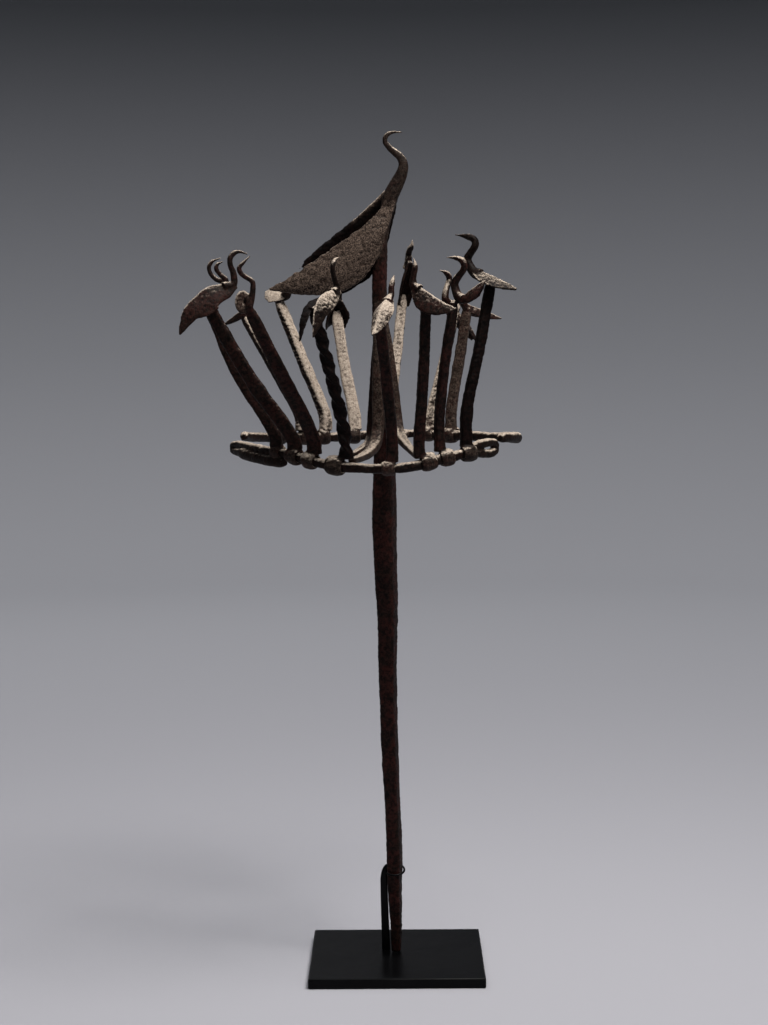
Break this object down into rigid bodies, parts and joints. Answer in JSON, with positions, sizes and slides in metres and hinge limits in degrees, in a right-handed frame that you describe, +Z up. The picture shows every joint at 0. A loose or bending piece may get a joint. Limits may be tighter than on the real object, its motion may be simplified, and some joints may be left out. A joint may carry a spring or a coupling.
{
  "type": "forged iron bird staff on a display stand",
  "caption": "Forged iron ritual staff: a large hooked-beak bird above a ring of small leaf-bodied birds on leaning stems, held upright on a black plate stand.",
  "frame": {"origin": "centre of the underside of the stand's base plate", "axes": "+Z up along the staff, -Y towards the viewer of the picture, +X to the viewer's right"},
  "size_m": [0.2876, 0.3387, 0.7348],
  "materials": {
    "forged_iron": "hammered and corroded, matt, with pale encrusted high spots",
    "black_paint": "satin black with light edge wear"
  },
  "bodies": {
    "root": {"stand_plate": "black_paint", "stand_upright": "black_paint", "staff": "forged_iron", "ring_front_rod": "forged_iron", "ring_back_rod": "forged_iron", "bird_01": "forged_iron", "bird_02": "forged_iron", "bird_03": "forged_iron", "bird_04": "forged_iron", "bird_05": "forged_iron", "bird_06": "forged_iron", "bird_07": "forged_iron", "bird_08": "forged_iron", "bird_09": "forged_iron", "bird_10": "forged_iron", "bird_11": "forged_iron", "bird_12": "forged_iron", "bird_13": "forged_iron", "bird_14": "forged_iron", "bird_15": "forged_iron"}
  },
  "joints": []
}
